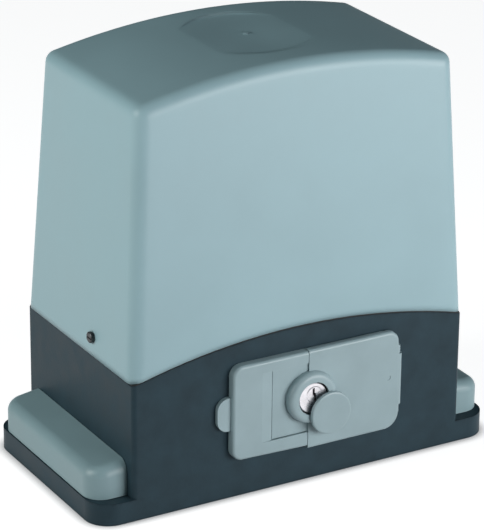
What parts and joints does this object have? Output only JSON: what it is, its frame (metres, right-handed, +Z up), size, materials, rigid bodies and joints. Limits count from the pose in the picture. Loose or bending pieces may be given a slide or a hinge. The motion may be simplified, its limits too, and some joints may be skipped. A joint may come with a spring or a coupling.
{
  "type": "sliding gate motor",
  "caption": "Sliding gate operator: cast base with worm gearbox and rack pinion, lift-off hood, foot covers and a lockable release lever.",
  "frame": {"origin": "centre of the foot's underside, which is the centre of the four anchor holes", "axes": "+Z up, -Y towards the release lever, +Y towards the gate and its rack, +X along the gate to the right seen from the lever's side"},
  "size_m": [0.32, 0.2262, 0.3066],
  "materials": {
    "cast_dark": "satin textured paint",
    "cast_alloy": "as cast",
    "steel": "machined",
    "zinc_steel": "zinc plated",
    "gear_steel": "hobbed, lightly oiled",
    "bronze": "machined bronze",
    "hub_iron": "machined cast iron",
    "bearing_steel": "ground",
    "rubber_black": "moulded",
    "gasket_paper": "pressed fibre",
    "laminations": "stacked sheet steel",
    "copper": "enamelled copper wire",
    "hood_plastic": "fine textured moulding",
    "cover_plastic": "fine textured moulding",
    "lever_plastic": "satin moulding",
    "lock_chrome": "nickel plated",
    "pcb_green": "solder mask",
    "terminal_green": "moulded",
    "relay_black": "moulded",
    "capacitor_white": "smooth can",
    "carrier_black": "moulded",
    "coil_tape": "tape wrapped"
  },
  "bodies": {
    "base": {"base_housing": "cast_dark", "gearbox_gasket": "gasket_paper", "gearbox_cover": "cast_alloy", "gearbox_cover_screws": "zinc_steel", "output_rear_bearing": "bearing_steel", "output_front_bearing": "bearing_steel", "worm_lower_bearing": "bearing_steel", "worm_upper_bearing": "bearing_steel", "motor_top_bearing": "bearing_steel", "motor_shaft_seal": "rubber_black", "output_seal": "rubber_black", "motor_stator": "laminations", "motor_windings": "copper", "motor_end_bell": "cast_alloy", "motor_tie_bolts": "zinc_steel", "output_flange": "cast_alloy", "output_flange_screws": "zinc_steel", "release_spring": "steel", "motor_capacitor": "capacitor_white", "capacitor_clip": "zinc_steel", "transformer_core": "laminations", "transformer_coil": "coil_tape", "transformer_strap": "zinc_steel", "board_carrier": "carrier_black", "control_board": "pcb_green", "terminal_blocks": "terminal_green", "board_relays": "relay_black", "limit_switch_bracket": "zinc_steel", "limit_switch_housing": "carrier_black", "limit_lever_pin": "steel", "cable_grommet": "rubber_black", "levelling_screws": "zinc_steel", "hood_seal": "rubber_black", "release_escutcheon": "lever_plastic", "lever_hinge_pin": "steel"},
    "hood": {"hood": "hood_plastic", "hood_screws": "zinc_steel", "hood_nuts": "zinc_steel"},
    "foot_cover_left": {"foot_cover_left": "cover_plastic"},
    "foot_cover_right": {"foot_cover_right": "cover_plastic"},
    "release_lever": {"release_lever": "lever_plastic", "lock_housing": "lock_chrome", "dust_cap_pivot": "steel"},
    "lock_plug": {"lock_plug": "lock_chrome", "lock_cam": "zinc_steel"},
    "dust_cap": {"dust_cap": "lever_plastic"},
    "rotor": {"worm_shaft": "gear_steel", "rotor_core": "laminations"},
    "worm_wheel": {"worm_wheel_rim": "bronze", "worm_wheel_hub": "hub_iron"},
    "output_shaft": {"output_shaft": "steel", "clutch_key": "steel", "pinion": "gear_steel", "pinion_key": "steel", "pinion_washer": "zinc_steel", "pinion_bolt": "zinc_steel"},
    "clutch_sleeve": {"clutch_sleeve": "gear_steel"},
    "release_rod": {"release_rod": "steel", "clutch_fork": "steel"},
    "limit_lever": {"limit_lever": "rubber_black"}
  },
  "joints": [
    {"name": "hood_lift", "type": "slide", "parent": "base", "child": "hood", "axis": [0, 0, 1], "range_m": [0, 0.22]},
    {"name": "foot_cover_left_lift", "type": "slide", "parent": "base", "child": "foot_cover_left", "axis": [0, 0, 1], "range_m": [0, 0.05]},
    {"name": "foot_cover_right_lift", "type": "slide", "parent": "base", "child": "foot_cover_right", "axis": [0, 0, 1], "range_m": [0, 0.05]},
    {"name": "lever_swing", "type": "hinge", "parent": "base", "child": "release_lever", "pos_m": [0.0761, -0.0829, 0.0625], "axis": [0, 0, 1], "range_deg": [0, 90]},
    {"name": "lock_turn", "type": "hinge", "parent": "release_lever", "child": "lock_plug", "pos_m": [0.0045, -0.08, 0.069], "axis": [0, -1, 0], "range_deg": [0, 90]},
    {"name": "dust_cap_swing", "type": "hinge", "parent": "release_lever", "child": "dust_cap", "pos_m": [0.01754, -0.0925, 0.06784], "axis": [0, 1, 0], "range_deg": [-90, 79]},
    {"name": "rotor_spin", "type": "hinge", "parent": "base", "child": "rotor", "pos_m": [0.057, 0, 0.06], "axis": [0, 0, 1], "continuous": true},
    {"name": "wheel_spin", "type": "hinge", "parent": "base", "child": "worm_wheel", "pos_m": [0, 0, 0.06], "axis": [0, 1, 0], "continuous": true},
    {"name": "output_spin", "type": "hinge", "parent": "base", "child": "output_shaft", "pos_m": [0, 0, 0.06], "axis": [0, 1, 0], "continuous": true},
    {"name": "clutch_slide", "type": "slide", "parent": "output_shaft", "child": "clutch_sleeve", "axis": [0, -1, 0], "range_m": [0, 0.00601]},
    {"name": "release_slide", "type": "slide", "parent": "base", "child": "release_rod", "axis": [0, -1, 0], "range_m": [0, 0.00601], "deforming": ["release_spring"]},
    {"name": "limit_lever_swing", "type": "hinge", "parent": "base", "child": "limit_lever", "pos_m": [0, 0.066, 0.138], "axis": [0, 0, 1], "range_deg": [-30, 30], "stiffness_Nm_per_rad": 0.05}
  ],
  "couplings": [
    {"joint": "wheel_spin", "follows": "rotor_spin", "ratio": 0.033333},
    {"joint": "output_spin", "follows": "rotor_spin", "ratio": 0.033333},
    {"joint": "clutch_slide", "follows": "lever_swing", "m_per_rad": 0.0038197},
    {"joint": "release_slide", "follows": "lever_swing", "m_per_rad": 0.0038197}
  ]
}
